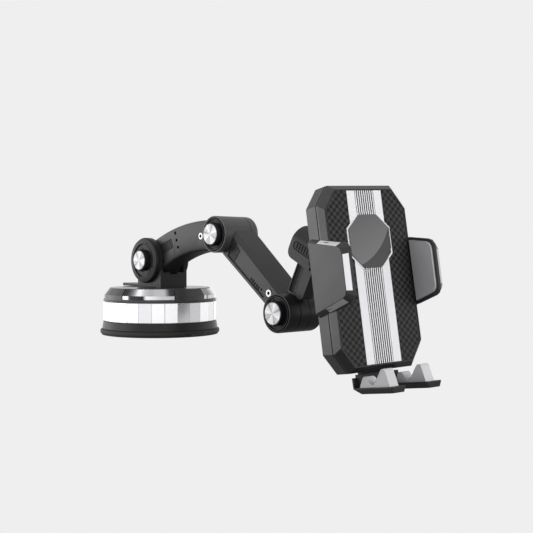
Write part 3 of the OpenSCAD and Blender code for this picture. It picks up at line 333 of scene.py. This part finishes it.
CARRY = {
    "lid": "base_lid",
    "dark": "base_housing yoke lock_lever collar_nut jaw_release_button foot_carriage head_button",
    "cap": "shoulder_cap shoulder_rear_cap elbow_cap elbow_rear_cap wrist_cap wrist_rear_cap",
    "barrel_painted_shade": "toothed_rail",
    "head": "ball_head",
    "grey": "upper_arm_near upper_arm_far lower_arm_near lower_arm_far",
    "flank": "cradle_back",
    "jaw": "jaw_left jaw_right",
    "rim": "cradle_front",
    "soft": "gel_pad suction_cup",
    "insert": "lid_inserts",
    "cover": "octagon_cover",
    "carbon": "carbon_panels",
    "chrome": "grip_ring",
    "strip": "centre_strip",
    "disc0": "shoulder_disc",
    "disc1": "elbow_disc",
    "disc2": "wrist_disc",
    "pad": "jaw_left_pad jaw_right_pad",
    "foot_pad": "foot_pads",
    "nylon": "shoulder_washers elbow_washer wrist_washers ball_seat pinion",
    "bright": "upper_arm_screws lower_arm_screws",
    "steel": "base_screws plunger_spring plunger yoke_retainer shoulder_bolt shoulder_nut lever_pin "
             "elbow_bolt elbow_nut wrist_bolt wrist_nut ball_stud stud_clamp cradle_screws gear_pin",
}


def smooth(mesh, limit=28):
    """Smooth shading, with the edges sharper than the limit, in degrees, kept crisp."""
    mesh.shade_smooth()
    mesh.set_sharp_from_angle(angle=rad(limit))


for mat, names in CARRY.items():
    for n in names.split():
        use(NODES[n], mat)
        smooth(NODES[n].data)


# ---------- mesh helpers ----------
def to_object(name, bm, matrix, mat, body, replaces=(), bevel=0.0, segments=3, limit=28):
    """Turns a millimetre bmesh in a local place into a finished piece that rides on a body."""
    bm.transform(Matrix.Scale(MM, 4) @ matrix)
    bmesh.ops.recalc_face_normals(bm, faces=bm.faces)
    me = bpy.data.meshes.new(name)
    bm.to_mesh(me)
    bm.free()
    ob = bpy.data.objects.new(name, me)
    bpy.context.scene.collection.objects.link(ob)
    smooth(me, limit)
    if bevel:
        add_bevel(ob, bevel, segments, limit)
    use(ob, mat)
    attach(ob, body)
    if replaces:
        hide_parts(*replaces)
    return ob


def add_bevel(ob, width, segments=3, limit=28):
    """Softens the edges of a piece, on its final mesh only."""
    m = ob.modifiers.new("edge", "BEVEL")
    m.width = width * MM
    m.segments = segments
    m.limit_method = "ANGLE"
    m.angle_limit = rad(limit)
    m.harden_normals = True
    m.use_clamp_overlap = True


def lathe(profile, steps=96):
    """Solid of revolution round local Z from (radius, height) points."""
    bm = bmesh.new()
    rings = []
    for r, z in profile:
        turns = [rad(360 * i / steps) for i in range(steps if r > 1e-6 else 1)]
        rings.append([bm.verts.new((r * math.cos(t), r * math.sin(t), z)) for t in turns])
    for a, b in zip(rings, rings[1:]):
        for i in range(steps):
            j = (i + 1) % steps
            quad = [a[i % len(a)], a[j % len(a)], b[j % len(b)], b[i % len(b)]]
            face = list(dict.fromkeys(quad))
            if len(face) > 2:
                bm.faces.new(face)
    return bm


def prism(outline, z0, z1, top=None):
    """Straight or tapered block from one outline to another."""
    bm = bmesh.new()
    low = [bm.verts.new((x, y, z0)) for x, y in outline]
    high = [bm.verts.new((x, y, z1)) for x, y in (top or outline)]
    bm.faces.new(low[::-1])
    bm.faces.new(high)
    n = len(low)
    for i in range(n):
        bm.faces.new((low[i], low[(i + 1) % n], high[(i + 1) % n], high[i]))
    return bm


def loft(rings):
    """Closed skin over rings of equally many points."""
    bm = bmesh.new()
    rows = [[bm.verts.new(p) for p in ring] for ring in rings]
    n = len(rows[0])
    for a, b in zip(rows, rows[1:]):
        for i in range(n):
            bm.faces.new((a[i], a[(i + 1) % n], b[(i + 1) % n], b[i]))
    bm.faces.new(rows[0][::-1])
    bm.faces.new(rows[-1])
    return bm


def cut(ob, *cutters):
    """Cuts closed millimetre shapes, given as (bmesh, place), out of a piece."""
    me = bpy.data.meshes.new("cutters")
    whole = bmesh.new()
    for bm, matrix in cutters:
        bm.transform(Matrix.Scale(MM, 4) @ matrix)
        bmesh.ops.recalc_face_normals(bm, faces=bm.faces)
        tmp = bpy.data.meshes.new("tmp")
        bm.to_mesh(tmp)
        bm.free()
        whole.from_mesh(tmp)
        bpy.data.meshes.remove(tmp)
    whole.to_mesh(me)
    whole.free()
    tool = bpy.data.objects.new("cutters", me)
    bpy.context.scene.collection.objects.link(tool)
    m = ob.modifiers.new("cut", "BOOLEAN")
    m.operation = "DIFFERENCE"
    m.solver = "EXACT"
    m.use_self = True
    m.object = tool
    kept = [x for x in ob.modifiers if x.type == "BEVEL"]
    for x in kept:
        x.show_viewport = False
    bpy.context.view_layer.update()
    done = bpy.data.meshes.new_from_object(ob.evaluated_get(bpy.context.evaluated_depsgraph_get()))
    ob.modifiers.remove(m)
    for x in kept:
        x.show_viewport = True
    old = ob.data
    ob.data = done
    done.name = ob.name
    bpy.data.meshes.remove(old)
    bpy.data.objects.remove(tool)
    bpy.data.meshes.remove(me)
    smooth(ob.data)


def rod(r, length, steps=48):
    """Round bar along local Z, from 0."""
    return lathe([(0, 0), (r, 0), (r, length), (0, length)], steps)


def block(low, high):
    """Plain box between two corners."""
    (x0, y0, z0), (x1, y1, z1) = low, high
    return prism([(x0, y0), (x1, y0), (x1, y1), (x0, y1)], z0, z1)


def arc(cx, cy, r, a0, a1, n):
    """Points of an arc from angle a0 to a1, in n steps."""
    turns = [rad(a0 + (a1 - a0) * i / n) for i in range(n + 1)]
    return [(cx + r * math.cos(t), cy + r * math.sin(t)) for t in turns]


# ---------- suction base ----------
HERE = Matrix.Identity(4)
BASE_STEPS = 160
cup = ([(0, 0.8), (LIP_R - 0.9, 0.8)] + arc(LIP_R - 0.9, 1.7, 0.9, -90, 0, 5) +
       arc(LIP_R - 0.9, 3.0, 0.9, 0, 60, 4) +
       [(LIP_R - 1.3, 4.1), (LIP_R - 2.2, 4.25), (38, 4.25), (38, 3), (0, 3)])
to_object("soft_cup", lathe(cup, BASE_STEPS), HERE, "soft", "base", ("suction_cup",))
tab = [(42.2, -6)] + arc(44.6, -3.2, 2.8, -90, 0, 5) + arc(44.6, 3.2, 2.8, 0, 90, 5) + [(42.2, 6)]
to_object("pull_tab", prism(tab, 0.9, 2.7), HERE, "soft", "base", bevel=0.4)
for i in range(3):
    ridge = block((44.0 + i, -3.6, 2.4), (44.5 + i, 3.6, 3.3))
    to_object("tab_ridge_%d" % i, ridge, HERE, "soft", "base", bevel=0.2)
skirt = ([(36, 4.2), (42.0, 4.2), (42.2, 4.5), (41.9, 6.2), (41.5, 8.6)] + arc(40.9, 9.2, 0.5, 0, 90, 4) +
         [(38.2, 9.7), (38.2, 24.1), (36, 24.1)])
to_object("skirt", lathe(skirt, BASE_STEPS), HERE, "dark", "base", ("base_housing",))


def fluted_ring(panels=28, bore=38.05, low=9.9, high=24.1):
    """Bright ring of flat upright panels, parted by fine grooves and softened at both ends."""
    step = 360 / panels
    flat = 0.468
    corner = RING_R / math.cos(rad(step * flat))
    outer = []
    for i in range(panels):
        for part, r in ((-flat, corner), (flat, corner), (0.5, RING_R - 0.25)):
            a = rad((i + part) * step)
            outer.append((r * math.cos(a), r * math.sin(a)))
    inner = [(bore * x / math.hypot(x, y), bore * y / math.hypot(x, y)) for x, y in outer]
    drawn_in = [(x * 0.993, y * 0.993) for x, y in outer]
    bm = bmesh.new()
    levels = ((inner, low), (drawn_in, low), (outer, low + 0.4),
              (outer, high - 0.4), (drawn_in, high), (inner, high))
    rows = [[bm.verts.new((x, y, z)) for x, y in points] for points, z in levels]
    n = len(outer)
    for a, b in zip(rows, rows[1:] + rows[:1]):
        for i in range(n):
            bm.faces.new((a[i], a[(i + 1) % n], b[(i + 1) % n], b[i]))
    return bm


to_object("fluted_ring", fluted_ring(), HERE, "chrome", "base", ("grip_ring",), limit=3)


# ---------- upper arm ----------
UPPER_SCREW, LOWER_SCREW = (57.8, 70.5), (125.5, 33.5)
HALF_DEEP = 9


def arch(x):
    """Heights of the arm's upper and lower edges: two arcs with their crowns at x = 64."""
    return (81.3 - 145 + math.sqrt(145 ** 2 - (x - 64) ** 2),
            60.5 - 100 + math.sqrt(100 ** 2 - (x - 64) ** 2))


rings = []
for i in range(49):
    x = 2 + (J2[0] - 2) * i / 48
    zt, zb = arch(x)
    c, w = 2.3, HALF_DEEP
    rings.append([(x, -w, zb + c), (x, -w + 0.6, zb + 0.9), (x, -w + c, zb), (x, w - c, zb), (x, w, zb + c),
                  (x, w, zt - c), (x, w - c, zt), (x, -w + c, zt), (x, -w + 0.6, zt - 0.9), (x, -w, zt - c)])
arm = to_object("upper_arm_shell", loft(rings), HERE, "grey", "upper_arm",
                ("upper_arm_near", "upper_arm_far"))
pocket = shift(19.9, -HALF_DEEP, 63.6) @ rot("X", 90) @ rot("Z", 19)
cutters = [(block((-9, -3.5, -0.6), (7.2, 3.5, 3)), pocket)]
for x, z in ((29.9, 73.1), (31.5, 68.0), (33.0, 63.1)):
    cutters.append((rod(1.2, 4), at_side(x, z) @ shift(0, 0, 7.4)))
cutters.append((rod(2.6, 4), at_side(*UPPER_SCREW) @ shift(0, 0, 7.1)))
cut(arm, *cutters)
for i in range(9):
    at = 1.68 * i
    to_object("inlay_rib_%d" % i, block((-8.2 + at, -2.9, -0.6), (-7.2 + at, 2.9, -0.2)), pocket, "dark",
              "upper_arm", bevel=0.12, segments=2)
to_object("inlay_plate", block((-8.8, -3.3, -0.9), (7.0, 3.3, -0.5)), pocket, "dark", "upper_arm")
knuckle = lathe([(0, -9), (13.5, -9), (14.2, -8.4), (14.2, 8.4), (13.5, 9), (0, 9)])
to_object("shoulder_knuckle", knuckle, at_side(*J1), "grey", "upper_arm")


def barrel(name, joint, z0, z1, mat, body, near=False, far=False, r=12.2):
    """Joint barrel from z0 to z1 along the joint axis, with a rim for the cap or a rounded far edge."""
    p = [(0, z0)]
    p += arc(r - 2.4, z0 + 2.4, 2.4, -90, 0, 8) if far else [(r - 0.35, z0), (r, z0 + 0.35)]
    if near:
        p += arc(r - 0.5, z1 - 0.5, 0.5, 0, 90, 4)
        p += [(r - 0.9, z1), (r - 1.1, z1 - 0.3), (r - 1.1, z1 - 2), (0, z1 - 2)]
    else:
        p += [(r, z1 - 0.35), (r - 0.35, z1), (0, z1)]
    to_object(name, lathe(p, 120), at_side(*joint), mat, body)


barrel("elbow_barrel", J2, -7.9, 15, "barrel", "upper_arm", near=True)
barrel("elbow_far_barrel", J2, -15, -8.1, "barrel", "lower_arm", far=True)
barrel("wrist_near_lug", J3, 5.7, 15, "barrel_painted_shade", "lower_arm", near=True)
barrel("wrist_far_lug", J3, -15, -2.7, "barrel_painted_shade", "lower_arm", far=True)


# ---------- lower arm ----------
rings = []
for x, zt, zb in ((0, 9.9, -9.4), (LOWER_RUN, 8.2, -6.6)):
    rings.append([(x, -9, zb + 0.8), (x, -8.2, zb), (x, 10.2, zb), (x, 11, zb + 0.8), (x, 11, zt - 1.0),
                  (x, 10, zt), (x, -6.3, zt), (x, -9, zt - 3.0)])
arm = to_object("lower_arm_shell", loft(rings), ALONG_LOWER, "grey", "lower_arm",
                ("lower_arm_near", "lower_arm_far"), bevel=0.35)
side = ALONG_LOWER @ rot("X", 90)
panel = prism([(14.5, -6.6), (57.5, -5.1), (61.5, 0.2), (61.5, 4.6), (15.5, 5.4), (12.5, 0)], 8.1, 12)
cut(arm,
    (rod(12.6, 60, 96), at_side(*J2) @ shift(0, 0, -8.1)),
    (rod(12.6, 8.4, 96), at_side(*J3) @ shift(0, 0, -2.7)),
    (panel, side),
    (rod(0.75, 4), at_side(118.3, 35.6) @ shift(0, 0, 6)),
    (rod(2.6, 4), at_side(*LOWER_SCREW) @ shift(0, 0, 7.1)))
inlay = prism([(15.4, -5.6), (21.4, -5.4), (21.4, 3.2), (16.6, 3.4), (14.2, 0)], 7.9, 8.4)
to_object("lower_inlay", inlay, side, "cap", "lower_arm", bevel=0.15)
# Black bars as painted shade, standing in for the dark inside the vent slots.
for i in range(5):
    bar = block((40.5 + 2.2 * i, -4.6, 7.8), (41.9 + 2.2 * i, -2.7 + 0.3 * (i % 2), 8.3))
    to_object("vent_slot_painted_shade_%d" % i, bar, side, "deep", "lower_arm", bevel=0.1, segments=2)


# ---------- jaws ----------
# Planes across the cradle in which a jaw's bevels start and end.
EDGE, OUT = 29.9, 33.4
# Each bevel: its two ends (out of the face, up) in the first plane, then in the second, and the bright share.
TRIMS = {"top": ((-13.5, 24.2), (15.6, 17.8), (14.4, 15.6), (-12.4, 21.8), 0.30, 0.97),
         "front": ((20.6, 11.8), (20.4, -9.2), (18.0, -8.8), (18.2, 11.4), 0.02, 0.98),
         "bottom": ((16.6, -14.6), (-13.5, -20.6), (-12.4, -17.8), (15.2, -11.8), 0.03, 0.66)}


def jaw_trim(name, part, sign, body, mat):
    """Bright insert lying on one bevel of a jaw, with a dark corner left at each end."""
    p, q, pf, qf, u0, u1 = TRIMS[part]
    a, b = (Vector((sign * EDGE, v[1], v[0])) for v in (p, q))
    c, d = (Vector((sign * OUT, v[1], v[0])) for v in (pf, qf))
    normal = (b - a).cross(d - a).normalized()
    if normal.x * sign < 0:
        normal = -normal

    def corners(u0, u1, v0, v1, proud):
        return [bm.verts.new(a.lerp(b, u).lerp(d.lerp(c, u), v) + normal * proud)
                for u, v in ((u0, v0), (u1, v0), (u1, v1), (u0, v1))]

    bm = bmesh.new()
    low = corners(u0, u1, 0.1, 0.93, -0.2)
    top = corners(u0 + 0.01, u1 - 0.01, 0.13, 0.9, 0.08)
    bm.faces.new(low[::-1])
    bm.faces.new(top)
    for k in range(4):
        bm.faces.new((low[k], low[(k + 1) % 4], top[(k + 1) % 4], top[k]))
    to_object(name, bm, IN_CRADLE, mat, body, bevel=0.08, segments=2)


for sign, body in ((-1, "jaw_left"), (1, "jaw_right")):
    for part in TRIMS:
        # The right jaw's trims and the bottom trims take the darker copy of the silver paint as painted
        # shade.
        jaw_trim("%s_trim_%s" % (body, part), part, sign, body,
                 "silver" if sign < 0 and part != "bottom" else "silver_painted_shade")


# ---------- black sheet as painted shade in the toothed rail's channel, ribs of the rail, black plugs as painted shade in the sockets of the two near screws ---
BESIDE_RAIL = AT_WRIST @ rot("X", 90)
# A thin black sheet as painted shade, standing in for the shadowed channel beside the rail.
to_object("rail_channel_painted_shade", block((13.9, 0.5, 5.6), (45.9, 4.4, 5.84)), BESIDE_RAIL, "deep", "rail")
for half, place in (("upper", UPPER_SCREW), ("lower", LOWER_SCREW)):
    # Black plugs as painted shade inside the sockets of the two near screws.
    to_object(half + "_socket_painted_shade", rod(1.1, 0.75, 24), at_side(*place) @ shift(0, 0, 7.2), "deep", half + "_arm")
for i in range(21):
    a = 14.2 + 1.3 * i
    rib = prism([(a, 0.1), (a + 0.7, 0.1), (a + 3.6, -2.2), (a + 2.9, -2.2)], 6.4, 6.62)
    to_object("rail_rib_%d" % i, rib, BESIDE_RAIL, "grey", "rail")


# ---------- softened edges on the model's own solids ----------
SOFTENED = {
    0.7: "ball_head",
    0.6: "yoke foot_pads",
    0.5: "cradle_back jaw_left_pad jaw_right_pad foot_carriage",
    0.4: "lock_lever",
    0.35: "cradle_front jaw_left jaw_right",
    0.3: "octagon_cover",
    0.25: "base_lid lid_inserts",
    0.2: "collar_nut toothed_rail head_button",
}
for width, names in SOFTENED.items():
    for n in names.split():
        add_bevel(NODES[n], width)


# ---------- floor, light and camera ----------
# All places from here on are in metres.
BACKDROP = (0.863, 0.863, 0.863, 1)
scene = bpy.context.scene
scene.view_settings.view_transform = "Standard"


def stage_floor(half=6.0, z=-0.2):
    """Plain pale floor below the part, which is held by its suction face; seen from above only."""
    k = Mat("pale_studio")
    k.t.nodes.remove(k.b)
    shown = k.node("ShaderNodeEmission", Color=BACKDROP, Strength=1.0).outputs[0]
    clear = k.node("ShaderNodeBsdfTransparent").outputs[0]
    back = k.node("ShaderNodeNewGeometry").outputs["Backfacing"]
    mixed = k.node("ShaderNodeMixShader", i0=back, i1=shown, i2=clear).outputs[0]
    k.put(k.t.nodes["Material Output"].inputs["Surface"], mixed)
    me = bpy.data.meshes.new("studio_floor")
    corners = [(-half, -half, z), (half, -half, z), (half, half, z), (-half, half, z)]
    me.from_pydata(corners, [], [(0, 1, 2, 3)])
    ob = bpy.data.objects.new("studio_floor", me)
    scene.collection.objects.link(ob)
    me.materials.append(k.m)
    ob.visible_shadow = False
    ob.visible_diffuse = False
    ob.visible_glossy = False


def studio_world():
    """Soft light all round, brightest at the horizon; plain to the camera."""
    world = bpy.data.worlds.new("studio")
    scene.world = world
    world.use_nodes = True
    w = Nodes(world.node_tree)
    coord = w.node("ShaderNodeTexCoord").outputs["Generated"]
    x, y, z = w.node("ShaderNodeSeparateXYZ", i0=coord).outputs
    by_height = w.ramp(w.scaled(z, 0.5, 0.5), *[(p, (v, v, v)) for p, v in (
        (0.0, 0.16), (0.40, 0.30), (0.46, 1.4), (0.60, 1.4), (0.72, 0.45), (1.0, 0.8))])
    # Darker and brighter flags at a few bearings, so that the bright ring shows its panels.
    bearing = w.scaled(w.math("ARCTAN2", y, x), 0.5 / PI, 0.5)
    flags = w.ramp(bearing, *[(p, (v, v, v)) for p, v in (
        (0.0, 1.0), (0.10, 1.0), (0.13, 0.6), (0.165, 1.0), (0.18, 2.6), (0.21, 2.6), (0.225, 1.0),
        (0.26, 1.0), (0.30, 0.62), (0.33, 1.0), (0.46, 1.0), (0.52, 0.50), (0.62, 0.50), (0.67, 0.95),
        (0.78, 0.7), (0.84, 1.0), (1.0, 1.0))])
    light = w.t.nodes["Background"]
    w.put(light.inputs["Color"], w.blend(1.0, by_height, flags, "MULTIPLY"))
    plain = w.node("ShaderNodeBackground", Color=BACKDROP)
    seen = w.node("ShaderNodeLightPath").outputs["Is Camera Ray"]
    mixed = w.node("ShaderNodeMixShader", i0=seen, i1=light.outputs[0], i2=plain.outputs[0]).outputs[0]
    w.put(w.t.nodes["World Output"].inputs["Surface"], mixed)


stage_floor()
studio_world()

# The camera looks along "ahead", whose bearing is CAMERA_TURN degrees from +Y, CAMERA_PITCH degrees down.
AIM = Vector((0.10, 0.0, 0.03))
CAMERA_AT = Vector((0.5375, -0.3973, 0.0578))
CAMERA_TURN, CAMERA_PITCH, CAMERA_LENS = 46.794, 0.7526, 60.79
right = Vector((math.cos(rad(CAMERA_TURN)), math.sin(rad(CAMERA_TURN)), 0))
ahead = Vector((-math.sin(rad(CAMERA_TURN)), math.cos(rad(CAMERA_TURN)), 0))


def facing(direction):
    return direction.to_track_quat("-Z", "Y").to_euler()


def softbox(name, to_right, nearer, higher, size, power, glossy=True):
    """Soft area light aimed at the part, placed from it as the camera sees it."""
    d = bpy.data.lights.new(name, "AREA")
    d.shape = "RECTANGLE"
    d.size, d.size_y, d.energy = *size, power
    o = bpy.data.objects.new(name, d)
    scene.collection.objects.link(o)
    o.location = AIM + right * to_right - ahead * nearer + Vector((0, 0, higher))
    o.rotation_euler = facing(AIM - o.location)
    o.visible_glossy = glossy


softbox("left_softbox", -0.85, -0.2, 0.15, (0.7, 0.7), 2.2)
softbox("top_softbox", -0.5, -0.2, 0.9, (1.0, 0.8), 1.5, False)
softbox("right_fill", 0.7, 0.7, 0.35, (0.5, 0.6), 8.5, False)

cam = bpy.data.cameras.new("camera")
cam.sensor_width = 36.0
cam.lens = CAMERA_LENS
cam.clip_start = 0.01
camera = bpy.data.objects.new("camera", cam)
scene.collection.objects.link(camera)
camera.location = CAMERA_AT
down = Vector((0, 0, -math.sin(rad(CAMERA_PITCH))))
camera.rotation_euler = facing(ahead * math.cos(rad(CAMERA_PITCH)) + down)
bpy.context.scene.camera = camera
